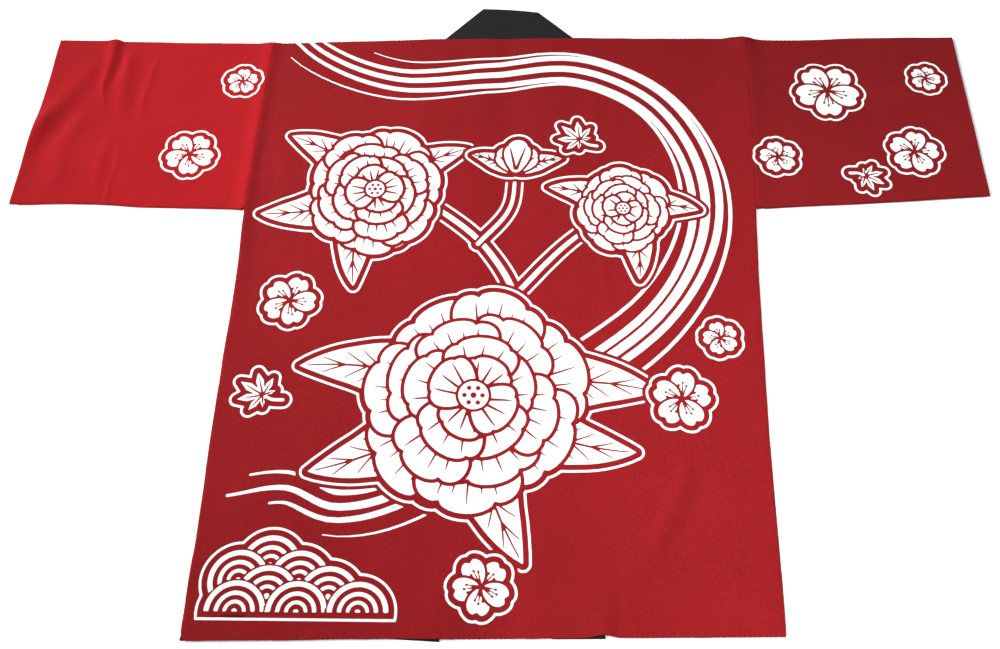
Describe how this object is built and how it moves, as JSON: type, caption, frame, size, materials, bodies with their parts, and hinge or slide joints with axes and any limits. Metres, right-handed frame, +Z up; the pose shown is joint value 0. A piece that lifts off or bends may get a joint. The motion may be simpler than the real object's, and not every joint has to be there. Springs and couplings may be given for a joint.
{
  "type": "happi coat",
  "caption": "Red cotton happi coat spread flat and face down: straight body, wide straight sleeves and a black band collar folded over at the neck.",
  "frame": {"origin": "middle of the coat's outline, on the surface that it lies on", "axes": "+X runs across the coat from the left sleeve's cuff to the right one as seen from above, +Y runs from the hem to the collar, +Z points up, away from the surface that the coat lies on"},
  "size_m": [1.3046, 0.9086, 0.0074],
  "materials": {
    "red_cotton": "matte plain-weave cotton, dyed red with white print",
    "black_cotton": "matte plain-weave cotton, black"
  },
  "bodies": {
    "root": {"back": "red_cotton", "front_left": "red_cotton", "front_right": "red_cotton", "sleeve_left": "red_cotton", "sleeve_right": "red_cotton", "collar": "black_cotton"}
  },
  "joints": []
}
